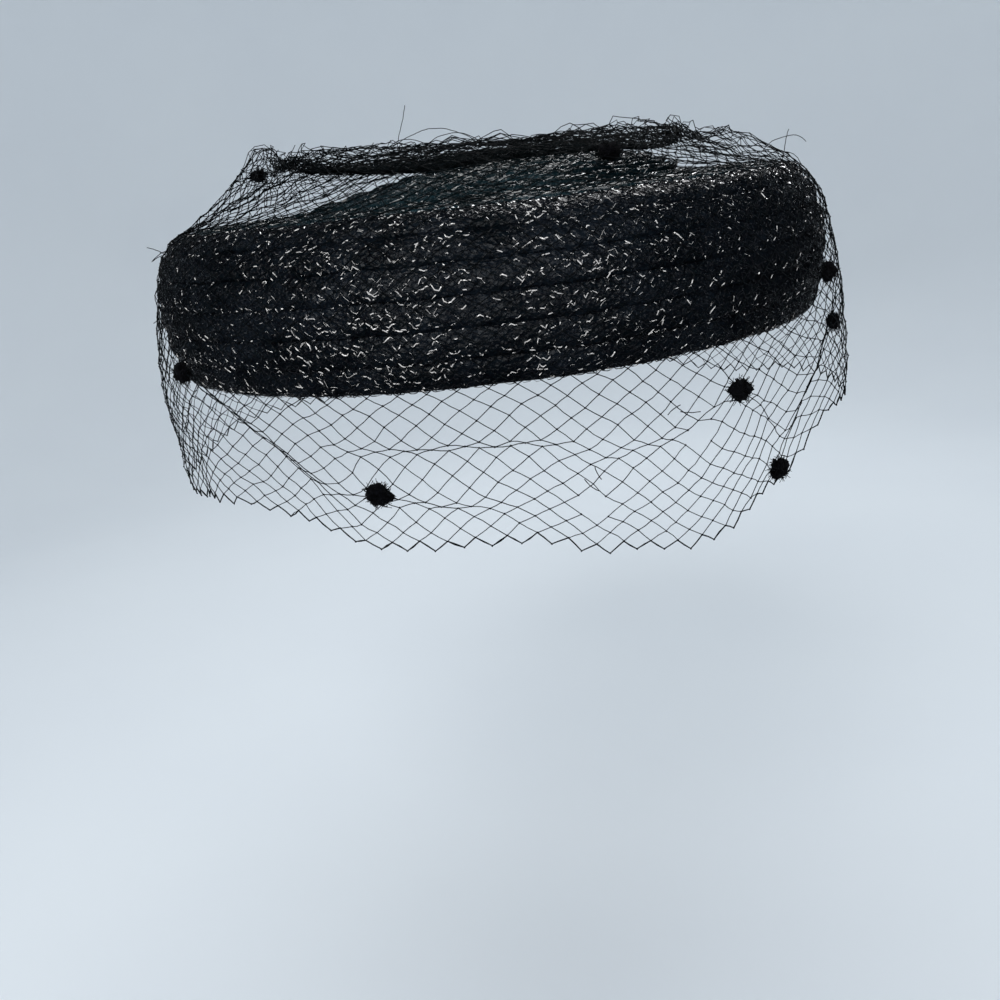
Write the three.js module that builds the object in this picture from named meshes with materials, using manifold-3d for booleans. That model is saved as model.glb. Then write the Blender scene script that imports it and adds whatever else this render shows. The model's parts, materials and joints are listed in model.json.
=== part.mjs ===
// A pillbox hat of black braid with a dotted veil, in millimetres, +Z up.
// The origin is the centre of the head opening, in the plane of the lower edge.
// The front of the hat faces -Y. Azimuths are in degrees from the front, and grow towards +X.

import * as THREE from 'three';
import { mergeVertices } from 'three/addons/utils/BufferGeometryUtils.js';
import Module from 'manifold-3d';

const wasm = await Module();
wasm.setup();

// Driving dimensions
const strawThickness = 2;
const segmentsRound = 54;
const bandRows = 6;
const rowBulge = 1.0;
const pieceGap = 0.4;
const crownLean = 15;
const crownFoot = 48;
const crownTop = 61.4;
const netThickness = 1.2;
const netSteps = 18;
const netSegments = 45;
const dotRadius = 4.25;
const dotHalfDepth = 3.2;
const dotGap = 0.4;

// The upright wall's outer line, from the lower edge up to the shoulder.
const bandLine = [
  { radius: 119.0, height: 0.0 },
  { radius: 121.3, height: 5.0 },
  { radius: 123.2, height: 12.0 },
  { radius: 124.0, height: 20.0 },
  { radius: 123.8, height: 29.0 },
  { radius: 121.8, height: 37.0 },
  { radius: 118.6, height: 43.0 },
  { radius: 114.6, height: 47.0 },
  { radius: 111.0, height: 48.8 },
];

// The crown's braid rows, from the outermost in: where each row's outer edge lies, and its top.
const crownRows = [
  { radius: 99.0, height: 48.4 },
  { radius: 87.0, height: 48.0 },
  { radius: 78.5, height: 49.0 },
  { radius: 70.5, height: 51.6 },
  { radius: 62.5, height: 54.2 },
  { radius: 54.5, height: 56.6 },
  { radius: 46.5, height: 58.6 },
  { radius: 38.5, height: 60.1 },
  { radius: 30.0, height: 61.0 },
  { radius: 19.0, height: 61.4 },
];

// The veil's line from the middle of the top, over the shoulder and down to a level hem.
const veilLine = [
  { radius: 0, height: 67.4 },
  { radius: 35, height: 67.8 },
  { radius: 58, height: 67.8 },
  { radius: 74, height: 65.0 },
  { radius: 87, height: 60.5 },
  { radius: 98, height: 55.6 },
  { radius: 107, height: 52.2 },
  { radius: 116, height: 49.8 },
  { radius: 122.8, height: 43.0 },
  { radius: 128.0, height: 30.0 },
  { radius: 130.5, height: 14.0 },
  { radius: 131.5, height: -4.0 },
  { radius: 131.0, height: -24.0 },
  { radius: 129.5, height: -46.0 },
];
const shoulderReach = 120;
const foldStart = 14;
const foldRange = 45;

// How low the veil hangs at each azimuth.
const hem = [
  { azimuth: -180, height: -39 },
  { azimuth: -150, height: -43 },
  { azimuth: -120, height: -37 },
  { azimuth: -75, height: -43 },
  { azimuth: -45, height: -35 },
  { azimuth: -31, height: -38 },
  { azimuth: -20, height: -46 },
  { azimuth: 0, height: -46 },
  { azimuth: 12, height: -53 },
  { azimuth: 24, height: -58 },
  { azimuth: 43, height: -52 },
  { azimuth: 58, height: -33 },
  { azimuth: 90, height: -35 },
  { azimuth: 130, height: -44 },
  { azimuth: 155, height: -38 },
  { azimuth: 180, height: -39 },
];

// Where the veil stands up over the crown or sinks: centre of each rise and its width.
const rises = [
  { x: -85, y: 8, rise: 14.0, spread: 25 },
  { x: -17, y: -12, rise: 7.5, spread: 15 },
  { x: 66, y: 0, rise: 2.5, spread: 20 },
  { x: 99, y: -8, rise: 8.0, spread: 17 },
  { x: -34, y: 84, rise: 5.0, spread: 22 },
  { x: 46, y: 88, rise: 6.0, spread: 20 },
];

// Upright folds in the part that hangs: how far each stands out, and how wide it is.
const folds = [
  { azimuth: -62, depth: -3.5, width: 9 },
  { azimuth: -36, depth: -3.0, width: 7 },
  { azimuth: 44, depth: -4.0, width: 8 },
  { azimuth: 70, depth: 3.0, width: 12 },
  { azimuth: 112, depth: -3.5, width: 10 },
  { azimuth: 150, depth: 3.0, width: 12 },
  { azimuth: -160, depth: -3.5, width: 10 },
  { azimuth: -118, depth: 3.0, width: 12 },
];

// The bunched net over the crown, from its pointed end to its wide end.
const gatherSections = [
  { x: -72, y: 6, height: 68.0, halfWidth: 1.2, halfDepth: 0.9 },
  { x: -58, y: 4, height: 66.4, halfWidth: 4.0, halfDepth: 1.4 },
  { x: -40, y: 2, height: 64.8, halfWidth: 7.0, halfDepth: 1.6 },
  { x: -20, y: 0, height: 64.0, halfWidth: 10.0, halfDepth: 1.9 },
  { x: 5, y: -2, height: 64.0, halfWidth: 13.5, halfDepth: 2.2 },
  { x: 30, y: -2, height: 64.3, halfWidth: 15.5, halfDepth: 2.3 },
  { x: 52, y: 0, height: 65.2, halfWidth: 15.0, halfDepth: 1.8 },
  { x: 64, y: 3, height: 66.2, halfWidth: 11.0, halfDepth: 1.2 },
];

// The chenille dots: azimuth, and how far along the net from the middle of the top.
const dots = [
  { azimuth: -52.5, reach: 170 },
  { azimuth: -18, reach: 201 },
  { azimuth: 32.5, reach: 180 },
  { azimuth: 43.5, reach: 212 },
  { azimuth: 58.5, reach: 164 },
  { azimuth: 27.5, reach: 89 },
  { azimuth: -103.5, reach: 93 },
  { azimuth: -115, reach: 124 },
  { azimuth: 84, reach: 193 },
  { azimuth: 101, reach: 158 },
  { azimuth: 128, reach: 186 },
  { azimuth: 160, reach: 157 },
  { azimuth: 176, reach: 196 },
  { azimuth: -150, reach: 165 },
  { azimuth: -104, reach: 188 },
  { azimuth: 142, reach: 78 },
];

const straw = new THREE.MeshStandardMaterial({ color: 0x14171c, roughness: 0.4, metalness: 0 });
const net = new THREE.MeshStandardMaterial({ color: 0x1b2a30, roughness: 0.6, metalness: 0 });
const chenille = new THREE.MeshStandardMaterial({ color: 0x0b0b0e, roughness: 0.95, metalness: 0 });

const radians = THREE.MathUtils.degToRad;
const degrees = THREE.MathUtils.radToDeg;

function smooth(t) {
  const clamped = Math.min(1, Math.max(0, t));
  return clamped * clamped * (3 - 2 * clamped);
}

function profileCurve(rows) {
  return new THREE.SplineCurve(rows.map((row) => new THREE.Vector2(row.radius, row.height)));
}

// The height of the hem at an azimuth, eased from one row of its table to the next.
function hemHeight(azimuth) {
  const next = Math.max(1, hem.findIndex((row) => row.azimuth >= azimuth));
  const low = hem[next - 1];
  const high = hem[next];
  const share = smooth((azimuth - low.azimuth) / (high.azimuth - low.azimuth));
  return THREE.MathUtils.lerp(low.height, high.height, share);
}

function turnBetween(azimuth, centre) {
  return THREE.MathUtils.euclideanModulo(azimuth - centre + 180, 360) - 180;
}

const veilCurve = profileCurve(veilLine);
const veilLength = veilCurve.getLength();
const levelHem = veilLine[veilLine.length - 1].height;
const shoulderHeight = veilCurve.getPointAt(shoulderReach / veilLength).y;

// The point of the draped net at an azimuth and a reach, moved off the sheet by offset.
function drape(azimuth, reach, offset) {
  const share = Math.min(1, reach / veilLength);
  const point = veilCurve.getPointAt(share);
  const along = veilCurve.getTangentAt(share);
  let radius = point.x - along.y * offset;
  let height = point.y + along.x * offset;
  if (height < shoulderHeight) {
    const drop = (shoulderHeight - hemHeight(azimuth)) / (shoulderHeight - levelHem);
    height = shoulderHeight - (shoulderHeight - height) * drop;
    const hang = smooth((foldStart - height) / foldRange);
    for (const fold of folds) {
      const turn = turnBetween(azimuth, fold.azimuth) / fold.width;
      radius += fold.depth * hang * Math.exp(-turn * turn);
    }
  }
  const x = radius * Math.sin(radians(azimuth));
  const y = -radius * Math.cos(radians(azimuth));
  for (const bump of rises) {
    const away = Math.hypot(x - bump.x, y - bump.y) / bump.spread;
    height += bump.rise * Math.exp(-away * away);
  }
  return new THREE.Vector3(x, y, height);
}

// Welds a geometry's vertices, drops triangles with no area, and turns its faces outward.
function weld(geometry) {
  geometry.deleteAttribute('normal');
  geometry.deleteAttribute('uv');
  const merged = mergeVertices(geometry, 1e-4);
  const place = merged.attributes.position;
  const corners = merged.index.array;
  const kept = [];
  const [a, b, c] = [new THREE.Vector3(), new THREE.Vector3(), new THREE.Vector3()];
  let volume = 0;
  for (let i = 0; i < corners.length; i += 3) {
    const [p, q, r] = corners.subarray(i, i + 3);
    if (p !== q && q !== r && r !== p) {
      kept.push(p, q, r);
      a.fromBufferAttribute(place, p);
      b.fromBufferAttribute(place, q);
      c.fromBufferAttribute(place, r);
      volume += a.dot(b.cross(c));
    }
  }
  merged.setIndex(volume < 0 ? kept.reverse() : kept);
  return merged;
}

function toManifold(geometry) {
  return new wasm.Manifold(new wasm.Mesh({
    numProp: 3,
    vertProperties: new Float32Array(geometry.attributes.position.array),
    triVerts: new Uint32Array(geometry.index.array),
  }));
}

function fromManifold(solid) {
  const mesh = solid.getMesh();
  const geometry = new THREE.BufferGeometry();
  geometry.setAttribute('position', new THREE.BufferAttribute(mesh.vertProperties, 3));
  geometry.setIndex(new THREE.BufferAttribute(mesh.triVerts, 1));
  return geometry;
}

function revolve(points, segments) {
  const geometry = new THREE.LatheGeometry(points, segments);
  geometry.rotateX(Math.PI / 2);
  return geometry;
}

function named(name, geometry, material) {
  const mesh = new THREE.Mesh(geometry, material.clone());
  mesh.name = name;
  return mesh;
}

// The two corners of the wall's end at the shoulder, which the crown's edge follows.
function shoulderEnd() {
  const curve = profileCurve(bandLine);
  const outer = curve.getPointAt(1);
  const along = curve.getTangentAt(1);
  const inner = new THREE.Vector2(outer.x - along.y * strawThickness, outer.y + along.x * strawThickness);
  return { outer, inner };
}

// The wall: each braid row swells between the two seams that hold it.
function makeSideBand() {
  const curve = profileCurve(bandLine);
  const stepsPerRow = 2;
  const steps = bandRows * stepsPerRow;
  const outer = [];
  const inner = [];
  for (let i = 0; i <= steps; i += 1) {
    const point = curve.getPointAt(i / steps);
    const along = curve.getTangentAt(i / steps);
    const bulge = i % stepsPerRow === 0 ? 0 : rowBulge;
    outer.push(new THREE.Vector2(point.x + along.y * bulge, point.y - along.x * bulge));
    if (i % stepsPerRow === 0) {
      inner.push(new THREE.Vector2(point.x - along.y * strawThickness, point.y + along.x * strawThickness));
    }
  }
  const loop = [...outer, ...inner.reverse(), outer[0].clone()];
  return named('side_band', weld(revolve(loop, segmentsRound)), straw);
}

// The crown: a flat ring, then rows that each step up over the one outside them.
function makeCrownTip() {
  const end = shoulderEnd();
  const riser = 0.7;
  const treadSlope = 0.15;
  const outer = [new THREE.Vector2(end.outer.x - pieceGap, end.outer.y)];
  const inner = [new THREE.Vector2(end.inner.x - pieceGap, end.inner.y)];
  let below = end.outer.y;
  crownRows.forEach((row, index) => {
    const tread = THREE.MathUtils.lerp(below, row.height, treadSlope);
    outer.push(new THREE.Vector2(row.radius + riser, tread));
    outer.push(new THREE.Vector2(row.radius, row.height));
    if (index % 2 === 1) {
      inner.push(new THREE.Vector2(row.radius, Math.min(below, row.height) - strawThickness));
    }
    below = row.height;
  });
  outer.push(new THREE.Vector2(0, below));
  inner.push(new THREE.Vector2(0, below - strawThickness));
  const geometry = weld(revolve([...outer.reverse(), ...inner], segmentsRound));
  const place = geometry.attributes.position;
  for (let i = 0; i < place.count; i += 1) {
    const lean = smooth((place.getZ(i) - crownFoot) / (crownTop - crownFoot));
    place.setX(i, place.getX(i) + crownLean * lean);
  }
  return named('crown_tip', geometry, straw);
}

// The bunched net: round-ended sections lofted along the crown.
function makeGather() {
  const around = 12;
  const first = gatherSections[0].x;
  const length = gatherSections[gatherSections.length - 1].x - first;
  const steps = 14;
  const table = (key) => new THREE.SplineCurve(gatherSections.map((row) => new THREE.Vector2(row.x, row[key])));
  const curves = ['y', 'height', 'halfWidth', 'halfDepth'].map(table);
  const geometry = new THREE.CylinderGeometry(1, 1, length, around, steps);
  geometry.rotateZ(-Math.PI / 2);
  const place = geometry.attributes.position;
  for (let i = 0; i < place.count; i += 1) {
    const share = THREE.MathUtils.clamp(place.getX(i) / length + 0.5, 0, 1);
    const [y, height, halfWidth, halfDepth] = curves.map((curve) => curve.getPoint(share).y);
    const x = curves[0].getPoint(share).x;
    place.setXYZ(i, x, y + place.getZ(i) * halfWidth, height + place.getY(i) * halfDepth);
  }
  return named('veil_gather', weld(geometry), net);
}

// A dot's solid, flattened through the sheet, at its place on the net and grown by extra.
function dotGeometry(dot, extra) {
  const geometry = new THREE.SphereGeometry(1, 10, 7);
  geometry.rotateX(Math.PI / 2);
  geometry.scale(dotRadius + extra, dotRadius + extra, dotHalfDepth + extra);
  const centre = drape(dot.azimuth, dot.reach, 0);
  const outward = drape(dot.azimuth, dot.reach, 1).sub(centre).normalize();
  const turn = new THREE.Quaternion().setFromUnitVectors(new THREE.Vector3(0, 0, 1), outward);
  geometry.applyQuaternion(turn);
  geometry.translate(centre.x, centre.y, centre.z);
  return weld(geometry);
}

// The veil: a flat disc of net, laid through the drape, with a hole round each dot.
function makeVeil() {
  const top = [];
  const bottom = [];
  for (let i = 0; i <= netSteps; i += 1) {
    const reach = veilLength * i / netSteps;
    top.push(new THREE.Vector2(reach, netThickness / 2));
    bottom.push(new THREE.Vector2(reach, -netThickness / 2));
  }
  const geometry = weld(revolve([...top, ...bottom.reverse()], netSegments));
  const place = geometry.attributes.position;
  for (let i = 0; i < place.count; i += 1) {
    const [x, y, offset] = [place.getX(i), place.getY(i), place.getZ(i)];
    const point = drape(degrees(Math.atan2(x, -y)), Math.hypot(x, y), offset);
    place.setXYZ(i, point.x, point.y, point.z);
  }
  let solid = toManifold(weld(geometry));
  for (const dot of dots) {
    solid = solid.subtract(toManifold(dotGeometry(dot, dotGap)));
  }
  return named('veil', fromManifold(solid), net);
}

const hat = new THREE.Group();
hat.add(makeSideBand());
hat.add(makeCrownTip());
hat.add(makeGather());
hat.add(makeVeil());
dots.forEach((dot, index) => {
  const name = `dot_${String(index + 1).padStart(2, '0')}`;
  hat.add(named(name, dotGeometry(dot, 0), chenille));
});

export default hat;
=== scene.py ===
import json
import math

import bmesh
import bpy
import numpy as np
from mathutils import Matrix, Vector

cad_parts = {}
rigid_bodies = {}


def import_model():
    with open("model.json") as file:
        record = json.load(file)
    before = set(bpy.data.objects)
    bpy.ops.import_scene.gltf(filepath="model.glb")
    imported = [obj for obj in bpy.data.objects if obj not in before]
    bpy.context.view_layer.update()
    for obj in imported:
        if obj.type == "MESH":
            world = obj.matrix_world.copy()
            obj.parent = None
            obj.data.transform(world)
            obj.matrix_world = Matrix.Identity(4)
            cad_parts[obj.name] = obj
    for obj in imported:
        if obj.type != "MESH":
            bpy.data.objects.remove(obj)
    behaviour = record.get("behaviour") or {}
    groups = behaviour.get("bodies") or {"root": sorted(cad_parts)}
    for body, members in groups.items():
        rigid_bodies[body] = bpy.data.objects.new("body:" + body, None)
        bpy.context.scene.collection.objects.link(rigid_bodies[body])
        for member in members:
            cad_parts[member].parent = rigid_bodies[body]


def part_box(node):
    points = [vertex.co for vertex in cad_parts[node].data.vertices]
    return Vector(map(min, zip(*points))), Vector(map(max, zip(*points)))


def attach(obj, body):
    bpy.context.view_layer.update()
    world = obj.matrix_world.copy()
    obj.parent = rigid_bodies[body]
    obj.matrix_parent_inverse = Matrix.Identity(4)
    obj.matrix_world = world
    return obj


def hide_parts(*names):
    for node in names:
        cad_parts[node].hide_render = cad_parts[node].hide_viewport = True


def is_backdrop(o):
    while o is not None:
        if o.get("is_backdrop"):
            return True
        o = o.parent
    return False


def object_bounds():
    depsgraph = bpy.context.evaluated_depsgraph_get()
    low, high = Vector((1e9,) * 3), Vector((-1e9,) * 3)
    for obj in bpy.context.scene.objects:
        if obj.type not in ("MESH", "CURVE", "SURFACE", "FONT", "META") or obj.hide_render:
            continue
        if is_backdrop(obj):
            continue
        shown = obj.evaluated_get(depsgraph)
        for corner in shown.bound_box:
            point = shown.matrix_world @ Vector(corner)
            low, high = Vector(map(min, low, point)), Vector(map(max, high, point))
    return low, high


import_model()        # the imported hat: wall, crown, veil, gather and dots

cadBox = [list(corner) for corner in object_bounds()]
mm = 0.001               # the tables are in millimetres, the scene is in metres
scene = bpy.context.scene
scene.view_settings.view_transform = "Standard"


class Signal:
    # a shader socket that can be added, multiplied and so on
    def __init__(self, finish, socket):
        self.finish = finish
        self.socket = socket

    def join(self, operation, first, second):
        made = self.finish.node("ShaderNodeMath", {"operation": operation}, {0: first, 1: second})
        return Signal(self.finish, made.outputs[0])

    def __add__(self, other):
        return self.join("ADD", self, other)

    def __mul__(self, other):
        return self.join("MULTIPLY", self, other)


class Finish:
    # a material, and the one way in which its nodes are made
    def __init__(self, name, constants):
        self.material = bpy.data.materials.new(name)
        self.material.use_nodes = True
        self.tree = self.material.node_tree
        self.tree.nodes.clear()
        self.shader = self.node("ShaderNodeBsdfPrincipled", {}, constants)
        self.node("ShaderNodeOutputMaterial", {}, {"Surface": self.shader.outputs[0]})
        self.coordinates = self.node("ShaderNodeTexCoord").outputs["Object"]

    def node(self, kind, settings=None, inputs=None):
        made = self.tree.nodes.new(kind)
        for key, value in (settings or {}).items():
            setattr(made, key, value)
        for key, value in (inputs or {}).items():
            self.feed(made.inputs[key], value)
        return made

    def feed(self, socket, value):
        value = value.socket if isinstance(value, Signal) else value
        if isinstance(value, bpy.types.NodeSocket):
            self.tree.links.new(value, socket)
        else:
            socket.default_value = value

    def noise(self, scale, detail=2.0):
        sizes = {"Vector": self.coordinates, "Scale": scale, "Detail": detail}
        made = self.node("ShaderNodeTexNoise", {}, sizes)
        return Signal(self, made.outputs["Fac"])

    def cells(self, scale):
        made = self.node("ShaderNodeTexVoronoi", {}, {"Vector": self.coordinates, "Scale": scale})
        return Signal(self, made.outputs["Distance"])

    def between(self, share, low, high):
        limits = {"From Min": low, "From Max": high}
        made = self.node("ShaderNodeMapRange", {}, {"Value": share, **limits})
        return Signal(self, made.outputs[0])

    def blend(self, share, first, second):
        made = self.node("ShaderNodeMix", {"data_type": "RGBA"}, {0: share, 6: first, 7: second})
        return made.outputs[2]

    def bump(self, height, strength, distance):
        sizes = {"Height": height, "Strength": strength, "Distance": distance}
        made = self.node("ShaderNodeBump", {}, sizes)
        self.feed(self.shader.inputs["Normal"], made.outputs[0])


class Line:
    # a smooth line through (radius, height) stations, read by the distance along it
    def __init__(self, stations):
        p = np.array(stations, float)
        p = np.vstack([p[:1], p, p[-1:]])
        parts = 24
        share = np.linspace(0, 1, parts, endpoint=False)[:, None]
        pieces = []
        for i in range(1, len(p) - 2):
            a, b = (p[i + 1] - p[i - 1]) / 2, (p[i + 2] - p[i]) / 2
            cubic = 2 * p[i] - 2 * p[i + 1] + a + b
            square = -3 * p[i] + 3 * p[i + 1] - 2 * a - b
            pieces.append(cubic * share ** 3 + square * share ** 2 + a * share + p[i])
        self.points = np.vstack([*pieces, p[-1:]])
        steps = np.linalg.norm(np.diff(self.points, axis=0), axis=1)
        self.travel = np.concatenate([[0], np.cumsum(steps)])
        self.length = self.travel[-1]
        self.slopes = np.gradient(self.points, self.travel, axis=0)

    def at(self, distance):
        return [np.interp(distance, self.travel, self.points[:, k]) for k in (0, 1)]

    def along(self, distance):
        x, y = [np.interp(distance, self.travel, self.slopes[:, k]) for k in (0, 1)]
        size = np.hypot(x, y)
        return x / size, y / size


fieldCells = 64


def ease(t):
    t = np.clip(t, 0, 1)
    return t * t * (3 - 2 * t)


def roughField(seed):
    # smooth random heights over the plane, from -1 to 1, that repeat after a number of cells
    table = np.random.default_rng(seed).uniform(-1, 1, (fieldCells, fieldCells))

    def field(x, y):
        i, j = np.floor(x).astype(int), np.floor(y).astype(int)
        s, t = ease(x - i), ease(y - j)
        corner = lambda a, b: table[(i + a) % fieldCells, (j + b) % fieldCells]
        low = corner(0, 0) * (1 - s) + corner(1, 0) * s
        high = corner(0, 1) * (1 - s) + corner(1, 1) * s
        return low * (1 - t) + high * t

    return field


def gridMesh(name, columns, rows, place, closed):
    # a flat grid of unit size, laid on a surface by place(u, v) and welded where it meets itself
    bm = bmesh.new()
    bmesh.ops.create_grid(bm, x_segments=columns, y_segments=rows, size=0.5)
    mesh = bpy.data.meshes.new(name)
    bm.to_mesh(mesh)
    flat = np.empty(len(mesh.vertices) * 3, np.float32)
    mesh.vertices.foreach_get("co", flat)
    flat = flat.reshape(-1, 3) + 0.5
    laid = place(flat[:, 0].astype(float), flat[:, 1].astype(float))
    mesh.vertices.foreach_set("co", (laid * mm).astype(np.float32).ravel())
    bm.clear()
    bm.from_mesh(mesh)
    bmesh.ops.remove_doubles(bm, verts=bm.verts, dist=1e-6)
    if closed:
        bmesh.ops.recalc_face_normals(bm, faces=bm.faces)
    bm.to_mesh(mesh)
    bm.free()
    return mesh


def sectionCurve(name, width, depth, corners):
    # the small closed outline that a strand or thread is drawn with
    curve = bpy.data.curves.new(name, "CURVE")
    curve.dimensions = "2D"
    spline = curve.splines.new("POLY")
    spline.points.add(corners - 1)
    for k, point in enumerate(spline.points):
        angle = 2 * math.pi * k / corners
        point.co = (math.cos(angle) * width / 2 * mm, math.sin(angle) * depth / 2 * mm, 0, 1)
    spline.use_cyclic_u = True
    outline = bpy.data.objects.new(name, curve)
    scene.collection.objects.link(outline)
    outline.hide_render = True
    return outline


def strandMesh(name, paths, outline, cyclic, tilts=None):
    # many strands drawn as curves with one outline, turned into a single mesh
    curve = bpy.data.curves.new(name, "CURVE")
    curve.dimensions = "3D"
    curve.bevel_mode = "OBJECT"
    curve.bevel_object = outline
    curve.use_fill_caps = not cyclic
    for k, path in enumerate(paths):
        spline = curve.splines.new("POLY")
        spline.points.add(len(path) - 1)
        co = np.hstack([path * mm, np.ones((len(path), 1))])
        spline.points.foreach_set("co", co.astype(np.float32).ravel())
        if tilts is not None:
            spline.points.foreach_set("tilt", tilts[k].astype(np.float32))
        spline.use_cyclic_u = cyclic
    drawn = bpy.data.objects.new(name, curve)
    scene.collection.objects.link(drawn)
    graph = bpy.context.evaluated_depsgraph_get()
    mesh = bpy.data.meshes.new_from_object(drawn.evaluated_get(graph))
    bpy.data.objects.remove(drawn)
    return mesh


def joinMeshes(name, meshes, materials):
    # one mesh out of several, the k-th of them wearing the k-th material
    bm = bmesh.new()
    for k, mesh in enumerate(meshes):
        before = len(bm.faces)
        bm.from_mesh(mesh)
        bm.faces.ensure_lookup_table()
        for face in bm.faces[before:]:
            face.material_index = k
            face.smooth = True
    joined = bpy.data.meshes.new(name)
    bm.to_mesh(joined)
    bm.free()
    for material in materials:
        joined.materials.append(material)
    return joined


def addPiece(name, mesh, slot, *nodes):
    piece = bpy.data.objects.new(name, mesh)
    scene.collection.objects.link(piece)
    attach(piece, "root")
    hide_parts(*nodes)
    return piece


cameraSettings = {
    "distance": 0.41,      # from the origin, in metres
    "elevation": 7.8,      # the angles are in degrees
    "pan": 1.0,
    "tilt": -9.8,
    "roll": 6.8,
    "lens": 36,
    "sensor": 36,
}


def makeCamera():
    s = {key: math.radians(value) for key, value in cameraSettings.items()}
    distance = cameraSettings["distance"]
    back = Vector((0, -math.cos(s["elevation"]), math.sin(s["elevation"])))
    right = Vector((1, 0, 0))
    up = right.cross(-back)
    level = Matrix((right, up, -back))
    turned = Matrix.Rotation(s["pan"], 3, "Y") @ level
    turned = Matrix.Rotation(s["tilt"], 3, "X") @ turned
    turned = Matrix.Rotation(s["roll"], 3, "Z") @ turned
    data = bpy.data.cameras.new("camera")
    data.lens = cameraSettings["lens"]
    data.sensor_width = cameraSettings["sensor"]
    camera = bpy.data.objects.new("camera", data)
    scene.collection.objects.link(camera)
    axes = Matrix((turned[0], turned[1], -turned[2])).transposed()
    camera.matrix_world = Matrix.Translation(back * distance) @ axes.to_4x4()
    scene.camera = camera


makeCamera()
print("camera placed")


strawSettings = {
    "patches": 60,         # patches of colour, for each metre
    "specks": 900,         # specks of roughness
    "creases": 700,
    "wrinkles": 1600,
    "wrinkleShare": 0.6,
    "smoothest": 0.07,     # lowest roughness, and how much is added at most
    "roughens": 0.09,
    "relief": 0.9,
}


def makeStraw(name, constants, dark, light, bumpSize):
    s = strawSettings
    straw = Finish(name, constants)
    patches = straw.between(straw.noise(s["patches"], 3), 0.35, 0.7)
    straw.feed(straw.shader.inputs["Base Color"], straw.blend(patches, dark, light))
    specks = straw.between(straw.noise(s["specks"], 3), 0.2, 0.8)
    straw.feed(straw.shader.inputs["Roughness"], specks * s["roughens"] + s["smoothest"])
    creases = straw.cells(s["creases"]) + straw.noise(s["wrinkles"], 2) * s["wrinkleShare"]
    straw.bump(creases, s["relief"], bumpSize)
    return straw.material


netSettings = {
    "patches": 140,        # patches of colour, for each metre
    "specks": 2500,        # specks of roughness
    "fibres": 6000,
    "smoothest": 0.4,      # lowest roughness, and how much is added at most
    "roughens": 0.3,
    "relief": 0.5,
    "reliefDepth": 0.00004,
}


def makeNet(name, dark, light):
    s = netSettings
    net = Finish(name, {"IOR": 1.4, "Specular IOR Level": 0.04})
    patches = net.between(net.noise(s["patches"], 2), 0.35, 0.7)
    net.feed(net.shader.inputs["Base Color"], net.blend(patches, dark, light))
    specks = net.noise(s["specks"], 1)
    net.feed(net.shader.inputs["Roughness"], specks * s["roughens"] + s["smoothest"])
    net.bump(net.noise(s["fibres"], 1), s["relief"], s["reliefDepth"])
    return net.material


chenilleSettings = {
    "patches": 900,        # patches of colour, for each metre
    "specks": 1500,        # specks of roughness
    "tufts": 2600,
    "dark": (0.0008, 0.0008, 0.0012, 1),
    "light": (0.0050, 0.0050, 0.0065, 1),
    "smoothest": 0.78,     # lowest roughness, and how much is added at most
    "roughens": 0.2,
    "relief": 1.0,
    "reliefDepth": 0.0004,
}


def makeChenille():
    s = chenilleSettings
    constants = {"IOR": 1.4, "Specular IOR Level": 0.02, "Sheen Weight": 0.02, "Sheen Roughness": 0.5}
    pile = Finish("chenille", constants)
    patches = pile.between(pile.noise(s["patches"], 3), 0.35, 0.75)
    pile.feed(pile.shader.inputs["Base Color"], pile.blend(patches, s["dark"], s["light"]))
    specks = pile.noise(s["specks"], 2)
    pile.feed(pile.shader.inputs["Roughness"], specks * s["roughens"] + s["smoothest"])
    pile.bump(pile.noise(s["tufts"], 3), s["relief"], s["reliefDepth"])
    return pile.material


strawBase = makeStraw("straw_braid", {"IOR": 1.4, "Specular IOR Level": 0.01},
                      (0.0001, 0.0002, 0.0003, 1), (0.0004, 0.0006, 0.0009, 1), 0.0006)
strawCrown = makeStraw("straw_crown", {"IOR": 1.4, "Specular IOR Level": 0.01},
                       (0.0002, 0.0006, 0.0008, 1), (0.0006, 0.0016, 0.0021, 1), 0.0006)
strawStrand = makeStraw("straw_strand", {"IOR": 1.5, "Specular IOR Level": 0.11},
                        (0.0001, 0.0001, 0.0002, 1), (0.0003, 0.0004, 0.0006, 1), 0.00003)
crownStrand = makeStraw("straw_crown_strand", {"IOR": 1.5, "Specular IOR Level": 0.06},
                        (0.0001, 0.0003, 0.0004, 1), (0.0003, 0.0009, 0.0012, 1), 0.00003)
netThread = makeNet("net_thread", (0.0010, 0.0015, 0.0020, 1), (0.004, 0.006, 0.007, 1))
netBunch = makeNet("net_bunch", (0.0006, 0.0016, 0.0021, 1), (0.0030, 0.0065, 0.0080, 1))
chenille = makeChenille()
print("finishes made")


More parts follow.
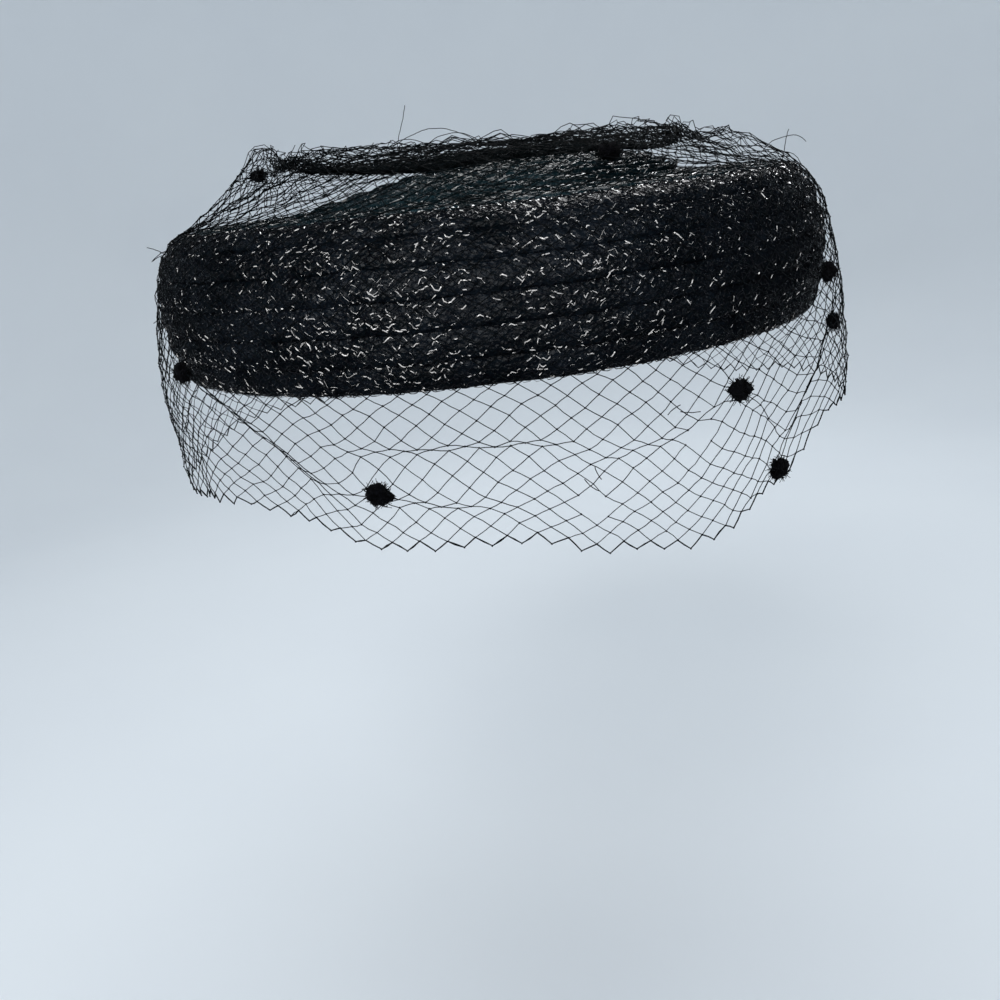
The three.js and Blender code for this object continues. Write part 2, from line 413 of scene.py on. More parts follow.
braidSettings = {
    "loop": 0.58,          # how far a strand curls along the row
    "sway": 0.85,          # and across it
    "loft": 0.7,           # how far its loops stand out from the row
    "twist": 0.55,         # how much it turns over, in radians
    "twistRun": 2,         # over how many steps
    "strandWidth": 0.40,
    "strandDepth": 0.12,
    "around": 224,         # faces round a row of the full length
    "fullLength": 780,
    "leastAround": 60,
    "section": 14,         # faces round a row's section
    "crinkle": 0.40,       # height of the base's crinkles
    "crinkleSizes": (1.7, 0.9),      # length of the wide and of the fine crinkles
    "crinkleCounts": (5.3, 11),      # how many of each lie across a row
    "crinkleFine": 0.6,              # height of the fine ones, as a share
    "seam": 60,            # a ring's crinkles fade within this part of its length at its seam
    "leastCurl": 0.35,     # the smallest curls, as a share of the largest
    "stray": 0.03,         # how far a strand strays across the row, as a share of its width
    "curl": (0.55, 1.75),  # how far a strand turns round at each step, in radians
    "clear": 0.15,         # how high the strands lie over the base
    "fuzz": 0.09,
    "rowWidth": 9.1,
    "sharp": 55,           # a ribbon's long edges stay sharp, so that its flat sides glint
    "thickness": 2.0,
}
strandOutline = sectionCurve("strand_outline", braidSettings["strandWidth"],
                             braidSettings["strandDepth"], 3)
crinkles = roughField(3)
waves = roughField(5)


def rowMesh(name, place, length, row, seed, finish, strandFinish):
    # one braid row: a crinkled closed ring, and curled strands lying over it that face outwards
    s = {**braidSettings, **row}
    rng = np.random.default_rng(seed)
    around = max(s["leastAround"], round(s["around"] * length / s["fullLength"]))
    wide, fine = s["crinkleSizes"]
    wideCount, fineCount = s["crinkleCounts"]

    def ring(u, v):
        turn = 2 * np.pi * v
        across = 0.5 - 0.5 * np.cos(turn)
        outer = np.sin(turn) >= 0
        along = u * length
        rise = np.abs(np.sin(turn)) ** s["crest"] * s["bulge"]
        fade = np.sin(turn).clip(0, 1) ** 0.3
        seamless = np.minimum(1, np.minimum(u, 1 - u) * s["seam"])
        rough = crinkles(along / wide, across * wideCount + seed)
        rough = rough + s["crinkleFine"] * crinkles(along / fine, across * fineCount + 7 + seed)
        inner = -s["thickness"] * np.abs(np.sin(turn)) ** 0.25
        lift = np.where(outer, rise + rough * fade * s["crinkle"] * seamless, inner)
        return place(360 * u, across, lift)

    base = gridMesh(name + "_base", around, s["section"], ring, True)
    steps = max(24, round(length / s["strandStep"]))
    paths, tilts = [], []
    for k in range(s["strands"]):
        along = np.arange(steps) * length / steps
        swing = np.cumsum(rng.uniform(*s["curl"], steps)) * rng.choice([-1, 1])
        wave = np.abs(waves(along / 5 + 9 * k, np.full(steps, seed + k + 0.5)))
        size = s["leastCurl"] + (1 - s["leastCurl"]) * wave
        middle = (k + 0.5) / s["strands"] * 0.96 + 0.02 + rng.normal(0, s["stray"], steps)
        across = middle + np.cos(swing) * s["sway"] * size / s["rowWidth"]
        across = np.clip(across, -s["stray"], 1 + s["stray"])
        crest = np.sin(np.pi * np.clip(across, 0, 1)) ** s["crest"] * s["bulge"]
        lift = crest + s["clear"] + s["loft"] * np.abs(np.sin(swing * 0.5 + k))
        lift = lift + np.abs(rng.normal(0, s["fuzz"], steps))
        turned = along + np.sin(swing) * s["loop"] * size
        paths.append(place(360 * turned / length, across, lift))
        turns = rng.normal(0, s["twist"], steps // s["twistRun"] + 2)
        twist = np.interp(np.arange(steps) / s["twistRun"], np.arange(len(turns)), turns)
        tilts.append(s["facing"] + twist)
    strandsMade = strandMesh(name + "_strands", paths, strandOutline, True, tilts)
    row = joinMeshes(name, [base, strandsMade], [finish, strandFinish])
    row.set_sharp_from_angle(angle=math.radians(s["sharp"]))
    return row


bandSettings = {
    "seed": 11,            # of the first row; each next row adds one
    "rows": 6,
    "strands": 13,
    "strandStep": 0.74,    # length of one straight bit of strand
    "facing": 0.0,         # how its flat side is turned
    "bulge": 1.7,          # how far a row swells out
    "crest": 0.7,          # 1 is a round swell, 0 a flat one
    "step": 1.3,           # how far each row stands out over the one above it
    "sink": 0.8,           # how deep the groove between two rows lies
    "lap": 1.20,           # how far a row runs on under the next one, as a share of the pitch
    "edgeWave": 0.8,       # unevenness of the sewn rows
    "waveOut": 0.6,        # its share outwards, and up at a row's lower and upper edge
    "waveUp": (0.8, 0.2),
    "stations": [(119.0, 0.0), (121.3, 5.0), (123.2, 12.0), (124.0, 20.0), (123.8, 29.0),
                 (121.8, 37.0), (118.6, 43.0), (114.6, 47.0), (111.0, 48.8)],
}


def makeBand():
    s = bandSettings
    line = Line(s["stations"])
    pitch = line.length / s["rows"]
    for row in range(s["rows"]):
        start = row * pitch

        def place(azimuth, across, lift):
            wobble = waves(azimuth * fieldCells / 360, np.full_like(azimuth, row + 0.5)) * s["edgeWave"]
            distance = np.clip(start + across * pitch * s["lap"], 0, line.length)
            radius, height = line.at(distance)
            alongX, alongY = line.along(distance)
            outward = lift - s["sink"] + s["step"] * (1 - across) + wobble * s["waveOut"]
            radius = radius + alongY * outward
            height = height - alongX * outward + wobble * np.where(across < 0.5, *s["waveUp"])
            a = np.radians(azimuth)
            return np.stack([radius * np.sin(a), -radius * np.cos(a), height], -1)

        length = 2 * np.pi * line.at(start + pitch / 2)[0]
        mesh = rowMesh(f"band_row_{row + 1}", place, length, s, s["seed"] + row, strawBase, strawStrand)
        addPiece(f"band_row_{row + 1}", mesh, "straw", "side_band")


makeBand()
print("wall rows made")


crownSettings = {
    "seed": 41,
    "strands": 6,
    "strandStep": 1.05,
    "facing": math.pi / 2,
    "bulge": 1.1,
    "crest": 0.35,
    "tread": 0.85,         # share of a row's rise that is in the step at its outer edge
    "riser": 0.16,         # width of that step
    "lap": 1.14,
    "crinkle": 0.55,
    "sink": 1.1,
    "edgeWave": 0.3,       # unevenness of the sewn rows
    "waveOut": 0.5,        # its share outwards and up
    "waveUp": 0.4,
    "lean": 15.0,          # how far the raised middle leans to +X
    "foot": 48.0,
    "top": 61.4,
    "rows": [(110.0, 50.6), (99.0, 50.4), (87.0, 49.0), (78.5, 49.6), (70.5, 51.6), (62.5, 54.2),
             (54.5, 56.6), (46.5, 58.6), (38.5, 60.1), (30.0, 61.0), (19.0, 61.4), (8.0, 61.5),
             (0.0, 61.5)],
}


def makeCrown():
    s = crownSettings
    for row, (outer, inner) in enumerate(zip(s["rows"], s["rows"][1:])):

        def place(azimuth, across, lift):
            wobble = waves(azimuth * fieldCells / 360, np.full_like(azimuth, row + 20.5))
            wobble = wobble * s["edgeWave"]
            lap = s["lap"] if inner[0] > 0 else 1
            edge = np.minimum(1, inner[0]) * s["waveOut"]
            radius = outer[0] + (inner[0] - outer[0]) * across * lap + wobble * edge
            radius = np.maximum(radius, 0)
            climb = s["tread"] * ease(across / s["riser"]) + (1 - s["tread"]) * across
            height = outer[1] + (inner[1] - outer[1]) * climb - s["sink"]
            height = height + lift + wobble * s["waveUp"]
            a = np.radians(azimuth)
            lean = s["lean"] * ease((height - s["foot"]) / (s["top"] - s["foot"]))
            return np.stack([radius * np.sin(a) + lean, -radius * np.cos(a), height], -1)

        length = 2 * np.pi * (outer[0] + inner[0]) / 2
        mesh = rowMesh(f"crown_row_{row + 1}", place, length, s, s["seed"] + row, strawCrown, crownStrand)
        addPiece(f"crown_row_{row + 1}", mesh, "straw", "crown_tip")


makeCrown()
print("crown rows made")


veilSettings = {
    "driftSeeds": (21, 22, 23),
    "scatterSeed": 24,
    "threadSeed": 31,
    "knotSeed": 33,
    "columns": 93,         # diamonds round the hem
    "rows": 39,            # diamonds from the gather to the hem
    "thread": 0.32,
    "knot": 0.58,          # width of a knot
    "knotLength": 0.55,
    "firstKnot": 28,       # the half row where knots begin to show
    "selvedge": 0.50,      # thread of the hem's zigzag
    "gatherHalf": 58.0,    # half length of the line along which the net is gathered
    "gatherReach": 95.0,
    "shoulderReach": 120.0,
    "foldStart": 14.0,
    "foldRange": 45.0,
    "sway": 0.45,          # how far the net wanders, in millimetres, at the hem and near the gather
    "topSway": 1.2,
    "scatter": 0.22,       # how far a knot lies off its place
    "topScatter": 0.42,
    "starts": (1, 6),      # half rows at which threads come out of the gather
    "slack": 0.12,         # how far a thread bows between knots
    "swayPitch": 0.41,     # how fast the wander changes from one half row to the next
    "calm": 30.0,          # near the gather the net wanders less, up to this reach
    "lowStart": 85.0,      # the reach at which the crown's values turn into those of the hem
    "lowRange": 50.0,
    "gatherWidth": 5.0,    # half width of the line of the gather, and the reach at which it ends
    "gatherRound": 40.0,
    "hangRadius": 131.0,   # radius at which an azimuth is turned into millimetres
    "stations": [(0, 67.4), (35, 67.8), (58, 67.8), (74, 65.0), (87, 60.5), (98, 55.6), (107, 52.2),
                 (116, 49.8), (122.8, 43.0), (128.0, 30.0), (130.5, 14.0), (131.5, -4.0),
                 (131.0, -24.0), (129.5, -46.0)],
    # azimuth and level of the hem
    "hem": [(-180, -39), (-150, -43), (-120, -37), (-75, -43), (-45, -35), (-31, -38), (-20, -46),
            (0, -46), (12, -53), (24, -58), (43, -50), (58, -33), (90, -35), (130, -44), (155, -38),
            (180, -39)],
    # x, y, rise, spread
    "rises": [(-85, 8, 15.0, 21), (-56, 5, 2.0, 22), (-17, -12, 6.0, 17), (66, 0, 1.5, 24),
              (99, -8, 8.0, 17), (-34, 84, 5.0, 22), (46, 88, 6.0, 20)],
    # where the net is pressed down over the crown: x, y, depth, spread
    "presses": [(58, 0, 6.0, 20), (30, 0, 2.0, 20), (76, 0, 3.0, 14)],
    # azimuth, depth, width
    "folds": [(-62, -3.5, 9), (-36, -3.0, 7), (44, -4.0, 8), (70, 3.0, 12), (112, -3.5, 10),
              (150, 3.0, 12), (-160, -3.5, 10), (-118, 3.0, 12)],
    # where the net lies close to the wall: azimuth, height, depth, width, height of the place
    "tucks": [(-92, 26, -2.4, 32, 20), (90, 28, -1.2, 25, 16)],
    # a crease draws the net together: azimuth and reach at its two ends, strength, width
    "creases": [(-56, 160, -22, 210, 1.25, 8.0), (-26, 187, 9, 189, 1.0, 5.0),
                (-28, 199, 2, 209, 0.95, 5.0), (8, 194, 34, 180, 0.9, 5.0),
                (28, 172, 45, 204, 1.1, 6.0), (43, 212, 62, 172, 1.25, 9.0),
                (43, 213, 30, 219, 0.7, 5.0), (-70, 120, -58, 190, 0.8, 7.0),
                (-110, 180, -80, 205, 1.0, 7.0), (120, 185, 160, 200, 1.0, 7.0),
                (-170, 175, -140, 205, 1.1, 7.0), (60, 70, 100, 112, 0.9, 8.0),
                (-60, 60, -95, 105, 0.9, 8.0), (20, 60, -30, 84, 0.8, 8.0),
                (92, 180, 110, 214, 0.9, 6.0)],
    # torn cells: azimuth, reach, radius
    "holes": [(24, 188, 2.9), (10, 203, 2.6), (-64, 176, 2.9), (-58, 158, 2.6), (-72, 128, 4.0),
              (150, 206, 2.9), (-125, 212, 2.9)],
    "topLayer": 3,         # a second layer lies over the crown, with every so many threads
    "topLevels": (3, 36),
    "topLift": 2.2,        # how high it stands over the first
    "topLeast": 0.7,
    "topWander": 1.6,      # how far it lies beside the first
}
veilLine = Line(veilSettings["stations"])
hemAzimuth, hemLevel = np.array(veilSettings["hem"], float).T
drift = [roughField(seed) for seed in veilSettings["driftSeeds"]]
knotCounts = (2 * veilSettings["columns"], 2 * veilSettings["rows"] + 1, 3)
scattered = np.random.default_rng(veilSettings["scatterSeed"]).normal(0, 1, knotCounts)


def hemHeight(azimuth):
    wrapped = (azimuth + 180) % 360 - 180
    high = np.clip(np.searchsorted(hemAzimuth, wrapped), 1, len(hemAzimuth) - 1)
    share = ease((wrapped - hemAzimuth[high - 1]) / (hemAzimuth[high] - hemAzimuth[high - 1]))
    return hemLevel[high - 1] + (hemLevel[high] - hemLevel[high - 1]) * share


def drape(azimuth, reach):
    # the place of a point of the net, from its azimuth and its distance from the gather
    s = veilSettings
    radius, height = veilLine.at(reach)
    shoulder = veilLine.at(s["shoulderReach"])[1]
    below = height < shoulder
    drop = (shoulder - hemHeight(azimuth)) / (shoulder - s["stations"][-1][1])
    height = np.where(below, shoulder - (shoulder - height) * drop, height)
    hang = ease((s["foldStart"] - height) / s["foldRange"])
    for centre, depth, width in s["folds"]:
        turn = ((azimuth - centre + 180) % 360 - 180) / width
        radius = radius + depth * hang * np.exp(-turn * turn)
    for centre, level, depth, width, tall in s["tucks"]:
        turn = ((azimuth - centre + 180) % 360 - 180) / width
        radius = radius + depth * np.exp(-turn * turn - ((height - level) / tall) ** 2)
    a = np.radians(azimuth)
    spread = s["gatherHalf"] * (1 - ease(reach / s["gatherReach"]))
    x = (radius + spread) * np.sin(a)
    y = -(radius + s["gatherWidth"] * (1 - ease(reach / s["gatherRound"]))) * np.cos(a)
    flatX = radius * np.sin(a)
    for bumpX, bumpY, rise, width in s["rises"]:
        away = np.hypot(flatX - bumpX, -radius * np.cos(a) - bumpY) / width
        height = height + rise * np.exp(-away * away)
    for pressX, pressY, depth, width in s["presses"]:
        away = np.hypot(x - pressX, y - pressY) / width
        height = height - depth * np.exp(-away * away)
    return np.stack([x, y, height], -1)


def drawIn(azimuth, reach):
    # moves points of the net towards its creases
    scale = math.radians(1) * veilSettings["hangRadius"]
    for startA, startR, endA, endR, strength, width in veilSettings["creases"]:
        turn = (azimuth - (startA + endA) / 2 + 180) % 360 - 180
        x, y = turn * scale, reach - (startR + endR) / 2
        dx, dy = (endA - startA) * scale, endR - startR
        size = math.hypot(dx, dy)
        along = (x * dx + y * dy) / size
        away = (x * -dy + y * dx) / size
        inside = ease(1.3 - np.abs(along) / (size / 2))
        pull = -away * strength * inside * np.exp(-(away / width) ** 2)
        azimuth = azimuth - pull * dy / size / scale
        reach = reach + pull * dx / size
    return azimuth, reach


def netPoint(column, level):
    # a knot of the net, from its count round (in columns) and down (in half rows)
    s = veilSettings
    azimuth = 360 * column / s["columns"]
    reach = level / (2 * s["rows"]) * veilLine.length
    azimuth, reach = drawIn(azimuth, np.minimum(reach, veilLine.length))
    point = drape(azimuth, np.clip(reach, 0, veilLine.length))
    low = ease((reach - s["lowStart"]) / s["lowRange"])
    sway = ease(reach / s["calm"]) * (s["sway"] * low + s["topSway"] * (1 - low))
    turn = (column % s["columns"]) * fieldCells / s["columns"]
    shift = [field(turn, level * s["swayPitch"]) * sway for field in drift]
    loose = ease(reach / s["calm"]) * (s["scatter"] * low + s["topScatter"] * (1 - low))
    place = np.round(2 * column).astype(int) % (2 * s["columns"])
    off = scattered[place, np.round(level).astype(int)] * loose[:, None]
    return point + np.stack(shift, -1) + off


def isTorn(column, level):
    s = veilSettings
    azimuth = 360 * column / s["columns"]
    reach = level / (2 * s["rows"]) * veilLine.length
    torn = np.zeros(len(column), bool)
    for holeA, holeR, radius in s["holes"]:
        turn = ((azimuth - holeA + 180) % 360 - 180) * math.radians(1) * s["hangRadius"]
        torn |= np.hypot(turn, reach - holeR) < radius
    return torn


def bowed(path, rng):
    # a thread through its knots, with a slack point between each two where it lies open
    if len(path) < 2:
        return path
    middle = (path[1:] + path[:-1]) / 2 + rng.normal(0, veilSettings["slack"], (len(path) - 1, 3))
    both = np.empty((2 * len(path) - 1, 3))
    both[0::2], both[1::2] = path, middle
    return both


def makeVeil():
    s = veilSettings
    outline = sectionCurve("thread_outline", s["thread"], s["thread"], 3)
    rng = np.random.default_rng(s["threadSeed"])
    levels = np.arange(0, 2 * s["rows"] + 1)
    for name, side in (("veil_threads_left", -1), ("veil_threads_right", 1)):
        paths = []
        for k in range(s["columns"]):
            column = k + side * levels / 2
            path = netPoint(column, levels)
            first = rng.integers(*s["starts"])
            breaks = np.flatnonzero(isTorn(column, levels))
            for run in np.split(np.arange(len(path)), breaks):
                run = run[~np.isin(run, breaks) & (run >= first)]
                if len(run) > 1:
                    upper = run[run < s["firstKnot"]]
                    lower = run[run >= s["firstKnot"] - 1]
                    paths.append(np.vstack([path[upper[:-1]], bowed(path[lower], rng)]))
        mesh = strandMesh(name, paths, outline, False)
        addPiece(name, joinMeshes(name, [mesh], [netThread]), "net", "veil")


def makeTopLayer():
    s = veilSettings
    first, last = s["topLevels"]
    levels = np.arange(first, last)
    share = (levels - first) / (last - first)
    hump = ease(share * 5) * ease((1 - share) * 3)
    paths = []
    for side in (-1, 1):
        for k in range(0, s["columns"], s["topLayer"]):
            column = k + 0.5 + side * levels / 2
            path = netPoint(column, levels)
            turn = (column % s["columns"]) * fieldCells / s["columns"]
            path[:, 2] += hump * s["topLift"] * (s["topLeast"] + drift[1](turn + 20, levels * 0.3))
            path[:, 0] += hump * s["topWander"] * drift[0](turn + 11, levels * 0.5)
            path[:, 1] += hump * s["topWander"] * drift[2](turn + 31, levels * 0.5)
            paths.append(path)
    mesh = strandMesh("top_layer", paths, bpy.data.objects["thread_outline"], False)
    addPiece("veil_top_layer", joinMeshes("veil_top_layer", [mesh], [netThread]), "net", "veil")


makeVeil()
makeTopLayer()
print("veil threads made")


def makeKnots():
    # the small knots where threads cross, and the heavier zigzag along the hem
    s = veilSettings
    knotOutline = sectionCurve("knot_outline", s["knot"], s["knot"], 3)
    hemOutline = sectionCurve("hem_outline", s["selvedge"], s["selvedge"], 3)
    rng = np.random.default_rng(s["knotSeed"])
    last = 2 * s["rows"]
    knots, hem = [], []
    for level in range(s["firstKnot"], last + 1):
        column = np.arange(s["columns"]) + (level % 2) / 2
        down = np.full(len(column), level)
        whole = ~isTorn(column, down)
        for point in netPoint(column, down)[whole]:
            half = rng.normal(0, 1, 3)
            half *= s["knotLength"] / 2 / np.linalg.norm(half)
            knots.append(np.array([point - half, point + half]))
    for k in range(s["columns"]):
        column = np.array([k - 0.5, k, k + 0.5])
        hem.append(bowed(netPoint(column, np.array([last - 1, last, last - 1])), rng))
    knotMesh = strandMesh("knots", knots, knotOutline, False)
    hemMesh = strandMesh("hem", hem, hemOutline, False)
    mesh = joinMeshes("veil_knots", [knotMesh, hemMesh], [netThread, netThread])
    addPiece("veil_knots", mesh, "net", "veil")


makeKnots()
print("knots and hem made")


straySettings = {
    "seed": 61,
    "step": 1.2,
    "wander": 4.5,         # how much a thread turns by chance at each step, in degrees
    "aside": 0.25,         # how far it leaves its plane at each step, as a share of the step
    # root (x, y, z), heading in the plane of x and z, length, turn for each millimetre
    "ends": [((-30, 0, 72), 80, 16, 0), ((-80, 1, 71), 60, 7, 0), ((-74, 1, 71), 50, 8, 0),
             ((-62, 0, 70), 60, 12, -12), ((-43, 1, 69), 55, 7, 0), ((-36, 1, 69), 60, 7, 0),
             ((-34, 0, 71), 40, 38, -2), ((-22, 0, 70), 35, 36, -2), ((-40, 2, 68), 45, 26, -3),
             ((117, 0, 50), 85, 12, 0), ((109, 1, 54), 40, 20, -5), ((111, 3, 52), 45, 18, -6),
             ((-116, -4, 44), 160, 16, 6), ((-118, -2, 41), 150, 14, 6), ((-119, 2, 45), 190, 10, 2),
             ((-121, -6, 40), 135, 12, 3), ((-128, -3, 19), 200, 18, 4), ((-127, 3, 17), 230, 15, 3),
             ((-127, -4, 21), 185, 10, 4), ((-129, 0, 12), 215, 9, 4), ((51, -118, -13), 200, 5, 6),
             ((57, -117, -16), 190, 6, -6), ((20, -129, -29), 300, 6, 5), ((25, -128, -30), 120, 5, -5),
             ((65, 110, 34), 60, 12, 8), ((-50, 119, 29), 130, 10, 5), ((119, 48, 41), 50, 9, 4)],
}


def makeStrays():
    # loose ends at the edge of the veil, each grown from its root step by step
    s = straySettings
    rng = np.random.default_rng(s["seed"])
    paths = []
    for root, heading, length, curl in s["ends"]:
        steps = max(3, round(length / s["step"]))
        chance = np.cumsum(rng.normal(0, s["wander"], steps))
        turns = np.radians(heading + np.arange(steps) * curl * s["step"] + chance)
        aside = rng.normal(0, s["aside"], steps)
        move = np.stack([np.cos(turns), aside, np.sin(turns)], -1)
        travel = np.cumsum(move * s["step"], axis=0)
        paths.append(np.array(root) + np.vstack([np.zeros(3), travel]))
    mesh = strandMesh("strays", paths, bpy.data.objects["thread_outline"], False)
    addPiece("veil_loose_ends", joinMeshes("veil_loose_ends", [mesh], [netThread]), "net", "veil")


makeStrays()
print("loose ends made")


gatherSettings = {
    "seed": 51,
    "pleatSeed": 52,
    "threads": 125,
    "steps": 50,
    "zigzag": 0.9,         # how far a thread steps from side to side, as it does in a net
    "puff": 2.2,           # how high the loose layers stand, in half depths
    "core": 0.50,          # size of the dense middle, and its faces along and round
    "coreFaces": (150, 30),
    "deepFold": 0.22,      # height of the long and of the fine pleats, as a share
    "fineFold": 0.30,
    "wind": (1, 5),        # how far a thread winds round, in radians
    "layers": (0.75, 1.2),           # how near the middle or the outside it lies
    "zigzagShape": (1.5, 0.45),      # the zigzag's share across and up
    "scatter": 0.25,
    # x, y, height, half width, half depth
    "sections": [(-72, 6, 68.0, 1.2, 0.8), (-58, 4, 66.6, 4.0, 1.2), (-40, 2, 65.0, 7.0, 1.4),
                 (-20, 0, 64.0, 11.0, 1.8), (5, -2, 63.8, 15.0, 2.0), (30, -2, 63.6, 16.0, 1.8),
                 (50, 0, 63.0, 11.0, 1.3), (60, 1, 62.4, 6.0, 0.9), (68, 3, 61.6, 1.5, 0.4)],
}


def makeGather():
    s = gatherSettings
    table = np.array(s["sections"], float)
    rng = np.random.default_rng(s["seed"])
    pleats = roughField(s["pleatSeed"])

    def section(share, turn, wide, tall):
        at = share * (table[-1, 0] - table[0, 0]) + table[0, 0]
        y, height, halfWidth, halfDepth = [np.interp(at, table[:, 0], table[:, k]) for k in range(1, 5)]
        side, face = np.cos(turn), np.sin(turn)
        deep = s["deepFold"] * pleats(share * 9, 2 * side + 7)
        fine = s["fineFold"] * pleats(share * 50, 5 * face + 4 * side + 20)
        fold = 1 + deep + fine
        return np.stack([at + 0 * turn, y + side * halfWidth * fold * wide,
                         height + face * halfDepth * fold * tall], -1)

    def coreSection(u, v):
        return section(u, 2 * np.pi * v, s["core"], s["core"])

    core = gridMesh("gather_core", *s["coreFaces"], coreSection, True)
    bm = bmesh.new()
    bm.from_mesh(core)
    rims = [edge for edge in bm.edges if edge.is_boundary]
    bmesh.ops.holes_fill(bm, edges=rims, sides=0)
    bmesh.ops.recalc_face_normals(bm, faces=bm.faces)
    bm.to_mesh(core)
    bm.free()
    paths = []
    for k in range(s["threads"]):
        share = np.linspace(rng.uniform(0, 0.45), rng.uniform(0.6, 1), s["steps"])
        turn = rng.uniform(0, 2 * np.pi) + (share - 0.5) * rng.uniform(*s["wind"]) * rng.choice([-1, 1])
        turn = turn + 0.6 * pleats(share * 16, np.full(s["steps"], k + 0.5))
        layer = rng.uniform(*s["layers"])
        fade = ease(share * 2.2 - 0.5) * ease((1 - share) * 4)
        puff = 1 + (s["puff"] - 1) * rng.uniform(0, 1) ** 1.5 * fade
        tall = layer * np.where(np.sin(turn) > 0, puff, 1)
        path = section(share, turn, layer, tall)
        side = np.where(np.arange(s["steps"]) % 2 == 0, 1, -1) * rng.uniform(0.2, 1)
        path[:, 1] += side * s["zigzag"] * s["zigzagShape"][0]
        path[:, 2] += side * s["zigzag"] * s["zigzagShape"][1] * ease(share * 4)
        paths.append(path + rng.normal(0, s["scatter"], path.shape))
    threads = strandMesh("gather_threads", paths, bpy.data.objects["thread_outline"], False)
    mesh = joinMeshes("veil_gather_net", [core, threads], [netBunch, netBunch])
    addPiece("veil_gather_net", mesh, "net", "veil_gather")


makeGather()
print("gather made")


dotSettings = {
    "seed": 100,           # the number of a dot is added to it
    "count": 16,
    "crownLevel": 0.055,   # a dot above this height, in metres, lies on the crown and faces upwards
    "crownLean": 0.5,
    "spin": 0.3,           # how far a tuft is turned about its middle, in radians
    "core": 0.88,          # size of the solid middle
    "hairRoot": 0.75,      # where a hair starts, and how much it bends
    "hairBend": 0.16,
    "hairLengths": (0.2, 1),
    "width": 4.9,          # half sizes of the tuft
    "height": 3.9,
    "depth": 2.9,
    "diamond": 0.5,        # 1 draws it out to four corners, 0 leaves it round
    "hairs": 190,
    "hair": 0.75,          # how far the pile stands out
    "hairWidth": 0.20,
    "rough": 0.30,
}


def makeDot(node, seed):
    s = dotSettings
    low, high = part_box(node)
    middle = (low + high) / 2
    rng = np.random.default_rng(seed)
    outward = Vector((middle.x, middle.y, 0.0)).normalized()
    if middle.z > s["crownLevel"]:
        outward = Vector((outward.x * s["crownLean"], outward.y * s["crownLean"], 1)).normalized()
    turn = outward.to_track_quat("Z", "Y").to_matrix().to_4x4()
    spin = Matrix.Rotation(rng.uniform(-s["spin"], s["spin"]), 4, "Z")
    size = Matrix.Diagonal((s["width"] * mm, s["height"] * mm, s["depth"] * mm, 1))
    lay = Matrix.Translation(middle) @ turn @ spin @ size

    def drawOut(direction):
        x, y = abs(direction[0]), abs(direction[1])
        return (math.hypot(x, y) / max(x + y, 1e-6)) ** s["diamond"]

    bm = bmesh.new()
    bmesh.ops.create_icosphere(bm, subdivisions=3, radius=1)
    lumps = roughField(seed + 5)
    for vert in bm.verts:
        x, y, z = vert.co
        lump = float(lumps(np.array([x * 4 + 9]), np.array([y * 4 + z * 3 + 9]))[0])
        vert.co *= (s["core"] + s["rough"] * lump) * drawOut((x, y, z))
    bmesh.ops.transform(bm, matrix=lay, verts=bm.verts)
    core = bpy.data.meshes.new(node + "_core")
    bm.to_mesh(core)
    bm.free()
    place = np.array(lay)
    hairs = []
    for k in range(s["hairs"]):
        direction = rng.normal(0, 1, 3)
        direction /= np.linalg.norm(direction)
        root, tip = s["hairRoot"], 1 + s["hair"] / s["width"] * rng.uniform(*s["hairLengths"])
        bend = rng.normal(0, s["hairBend"], (3, 3)) * np.array([[0], [0.5], [1]])
        points = np.outer([root, (root + tip) / 2, tip], direction * drawOut(direction)) + bend
        hairs.append((points @ place[:3, :3].T + place[:3, 3]) / mm)
    pile = strandMesh(node + "_hairs", hairs, bpy.data.objects["hair_outline"], False)
    mesh = joinMeshes(node + "_pile", [core, pile], [chenille, chenille])
    addPiece("chenille_" + node, mesh, "chenille", node)


sectionCurve("hair_outline", dotSettings["hairWidth"], dotSettings["hairWidth"], 3)
for number in range(1, dotSettings["count"] + 1):
    makeDot(f"dot_{number:02d}", dotSettings["seed"] + number)
print("dots made")


stageSettings = {
    "floor": -0.30,        # sizes in metres
    "radius": 1.7,
    "wall": 1.9,
    "sweep": 0.7,          # radius of the round corner between floor and wall, and its facets
    "sweepFacets": 12,
    "segments": 96,
    "dark": (0.76, 0.80, 0.84, 1),
    "light": (0.80, 0.84, 0.87, 1),
}


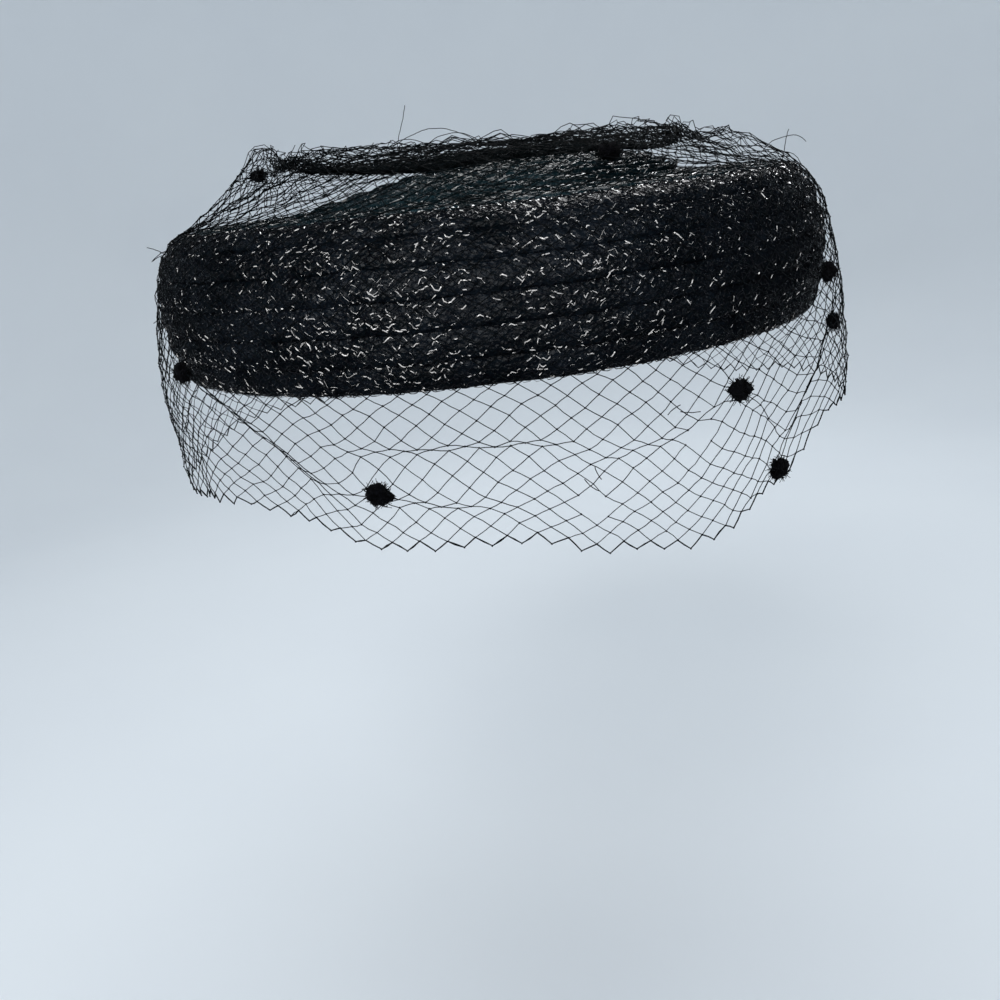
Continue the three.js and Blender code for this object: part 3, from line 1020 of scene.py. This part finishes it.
def makeStage():
    s = stageSettings
    bm = bmesh.new()
    floor = s["floor"]
    flat = s["radius"] - s["sweep"]
    corners = [(0.0, floor), (flat, floor)]
    for k in range(1, s["sweepFacets"] + 1):
        angle = math.pi / 2 * k / s["sweepFacets"]
        corners.append((flat + s["sweep"] * math.sin(angle), floor + s["sweep"] * (1 - math.cos(angle))))
    corners.append((s["radius"], floor + s["wall"]))
    verts = [bm.verts.new((x, 0, z)) for x, z in corners]
    edges = [bm.edges.new(pair) for pair in zip(verts, verts[1:])]
    bmesh.ops.spin(bm, geom=verts + edges, angle=2 * math.pi, steps=s["segments"], axis=(0, 0, 1),
                   cent=(0, 0, 0), use_merge=True)
    bmesh.ops.remove_doubles(bm, verts=bm.verts, dist=1e-5)
    bmesh.ops.recalc_face_normals(bm, faces=bm.faces)
    mesh = bpy.data.meshes.new("backdrop")
    bm.to_mesh(mesh)
    bm.free()
    for face in mesh.polygons:
        face.use_smooth = True
    paper = Finish("backdrop", {"Roughness": 0.9, "Specular IOR Level": 0.1})
    grain = paper.noise(6, 2)
    paper.feed(paper.shader.inputs["Base Color"], paper.blend(grain, s["dark"], s["light"]))
    mesh.materials.append(paper.material)
    backdrop = bpy.data.objects.new("backdrop", mesh)
    scene.collection.objects.link(backdrop)
    backdrop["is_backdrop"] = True


lights = [
    # name, place, size, power, colour, whether it lights the straw alone
    ("glint_front", (-0.10, -0.62, 0.20), 0.58, 56.0, (1.0, 1.0, 1.0), True),
    ("glint_left", (-0.50, -0.60, 0.42), 0.52, 44.0, (1.0, 0.99, 0.97), True),
    ("glint_right", (0.42, -0.70, 0.36), 0.42, 24.0, (0.98, 0.99, 1.0), True),
    ("glint_back", (0.25, 0.60, 0.70), 0.50, 22.0, (0.98, 0.99, 1.0), True),
    ("front", (-0.30, -0.90, 0.80), 0.60, 8.0, (1.0, 1.0, 1.0), False),
    ("top", (0.0, 0.1, 1.30), 1.40, 7.0, (0.97, 0.99, 1.0), False),
    ("behind", (0.2, 0.9, 0.60), 0.80, 3.0, (0.97, 0.99, 1.0), False),
]


worldSettings = {"colour": (0.80, 0.87, 0.95, 1), "strength": 0.30}


def makeLights():
    straw = bpy.data.collections.new("straw_pieces")
    scene.collection.children.link(straw)
    for piece in [o for o in scene.objects if "_row_" in o.name]:
        straw.objects.link(piece)
    for name, place, size, power, colour, strawOnly in lights:
        data = bpy.data.lights.new(name, "AREA")
        data.shape = "DISK"
        data.size = size
        data.energy = power
        data.color = colour
        lamp = bpy.data.objects.new(name, data)
        scene.collection.objects.link(lamp)
        lamp.location = place
        lamp.rotation_euler = (-Vector(place)).to_track_quat("-Z", "Y").to_euler()
        if strawOnly:
            lamp.light_linking.receiver_collection = straw
    world = bpy.data.worlds.new("studio")
    world.use_nodes = True
    background = world.node_tree.nodes["Background"]
    background.inputs[0].default_value = worldSettings["colour"]
    background.inputs[1].default_value = worldSettings["strength"]
    scene.world = world


makeStage()
makeLights()
print("stage and lights made")

for outline in [o for o in scene.objects if o.name.endswith("_outline")]:
    bpy.data.objects.remove(outline)

visualBox = [list(corner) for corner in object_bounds()]
